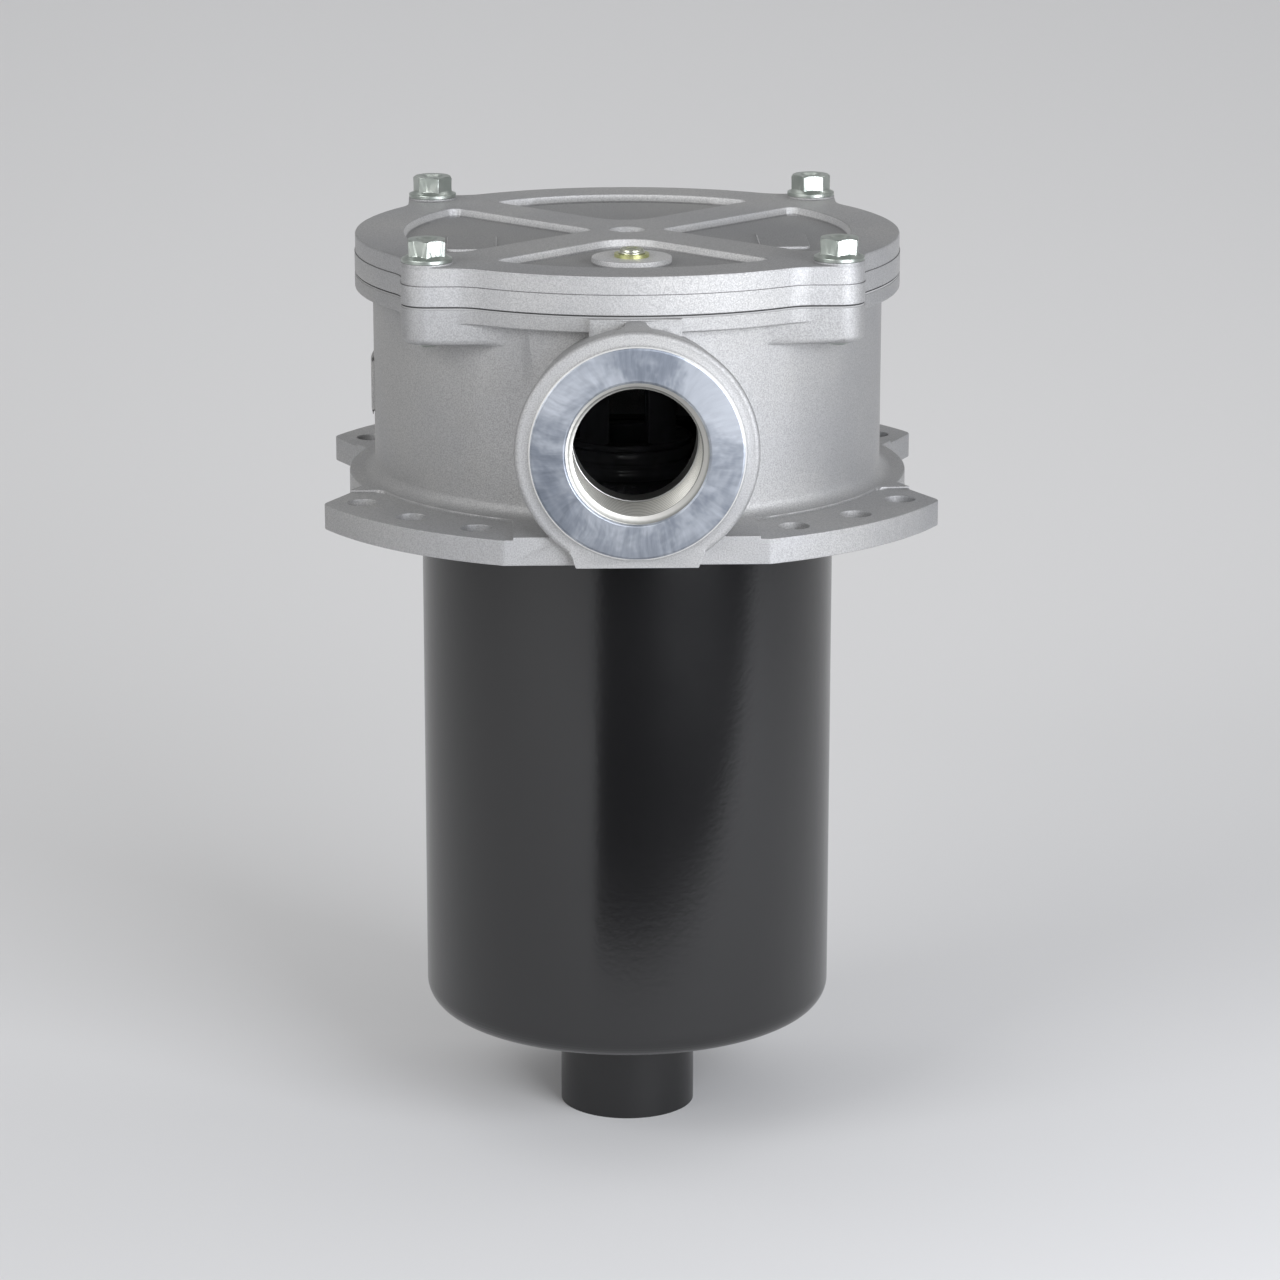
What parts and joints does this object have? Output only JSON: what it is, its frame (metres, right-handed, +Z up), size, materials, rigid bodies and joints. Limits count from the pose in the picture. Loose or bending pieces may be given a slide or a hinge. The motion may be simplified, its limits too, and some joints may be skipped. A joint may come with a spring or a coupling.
{
  "type": "hydraulic filter",
  "caption": "Tank-top return-line hydraulic filter: cast head with side port and drilled flange, bolted cover, deep-drawn bowl with outlet tube, pleated element and bypass valve.",
  "frame": {"origin": "centre of the outlet tube's lower end", "axes": "+Z up through the cover along the bowl's axis, -Y out of the inlet port"},
  "size_m": [0.2204, 0.238, 0.3466],
  "materials": {
    "cast_aluminium": "as cast, fine grain",
    "clear_zinc": "zinc plated",
    "yellow_zinc": "yellow zinc plated",
    "black_paint": "semi-gloss",
    "gasket": "matte",
    "rubber": "matte",
    "black_nylon": "moulded",
    "media": "matte",
    "plated_steel": "zinc plated",
    "poppet_steel": "turned",
    "spring_steel": "phosphated"
  },
  "bodies": {
    "housing": {"head": "cast_aluminium", "cover": "cast_aluminium", "cover_gasket": "gasket", "cover_bolt_1": "clear_zinc", "cover_bolt_2": "clear_zinc", "cover_bolt_3": "clear_zinc", "cover_bolt_4": "clear_zinc", "bleed_plug": "yellow_zinc", "bleed_plug_seal": "yellow_zinc", "bowl": "black_paint", "bowl_seal": "rubber", "outlet_tube": "black_paint", "element_top_cap": "black_nylon", "element_media": "media", "element_core": "plated_steel", "element_bottom_cap": "black_nylon", "element_seal": "rubber", "bypass_cage": "black_nylon", "bypass_cage_seal": "rubber", "bypass_spring": "spring_steel", "bypass_retainer": "plated_steel", "hold_down_spring": "spring_steel"},
    "poppet": {"bypass_poppet": "poppet_steel"}
  },
  "joints": [
    {"name": "bypass_lift", "type": "slide", "parent": "housing", "child": "poppet", "axis": [0, 0, -1], "range_m": [0, 0.006], "stiffness_N_per_m": 8000, "springref_m": -0.008, "deforming": ["bypass_spring"]}
  ]
}
